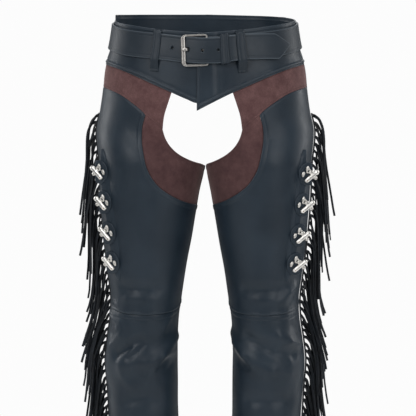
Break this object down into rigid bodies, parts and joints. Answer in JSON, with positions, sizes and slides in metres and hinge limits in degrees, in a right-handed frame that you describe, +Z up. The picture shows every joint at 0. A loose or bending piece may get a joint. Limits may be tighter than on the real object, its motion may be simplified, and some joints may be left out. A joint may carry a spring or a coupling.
{
  "type": "fringed leather chaps",
  "caption": "Belted leather riding chaps with open crotch and seat, suede insets, side fringe and metal conchos, shaped as worn.",
  "frame": {"origin": "middle of the waist opening, on the body's axis, level with the middle of the buckle", "axes": "+Z up along the body, out of the waist; -Y to the front, where the buckle is; +X to the wearer's left"},
  "size_m": [0.4286, 0.2466, 1.041],
  "materials": {
    "leather": "dark blue-grey smooth cowhide, satin, soft sheen along its folds",
    "suede": "brown-maroon suede, matt, short nap",
    "fringe": "near-black cut leather strands, matt edges",
    "silver": "bright polished silver-tone casting with a dark recess",
    "buckle_metal": "brushed nickel, satin"
  },
  "bodies": {
    "root": {"yoke_front_left": "leather", "yoke_front_right": "leather", "yoke_back": "leather", "belt": "leather", "belt_keeper": "leather", "belt_loop_front_left": "leather", "belt_loop_front_right": "leather", "belt_loop_back_left": "leather", "belt_loop_back_middle": "leather", "belt_loop_back_right": "leather", "buckle_frame": "buckle_metal", "buckle_prong": "buckle_metal", "hip_inset_left": "suede", "hip_inset_right": "suede", "thigh_inset_left": "suede", "thigh_inset_right": "suede", "thigh_front_left": "leather", "thigh_front_right": "leather", "thigh_back_left": "leather", "thigh_back_right": "leather", "shin_front_left": "leather", "shin_front_right": "leather", "shin_back_left": "leather", "shin_back_right": "leather", "concho_flap_left": "leather", "concho_flap_right": "leather", "rosette_left_1": "leather", "rosette_left_2": "leather", "rosette_left_3": "leather", "rosette_left_4": "leather", "rosette_right_1": "leather", "rosette_right_2": "leather", "rosette_right_3": "leather", "rosette_right_4": "leather", "concho_left_1": "silver", "concho_left_2": "silver", "concho_left_3": "silver", "concho_left_4": "silver", "concho_right_1": "silver", "concho_right_2": "silver", "concho_right_3": "silver", "concho_right_4": "silver", "fringe_left": "fringe", "fringe_right": "fringe"}
  },
  "joints": []
}
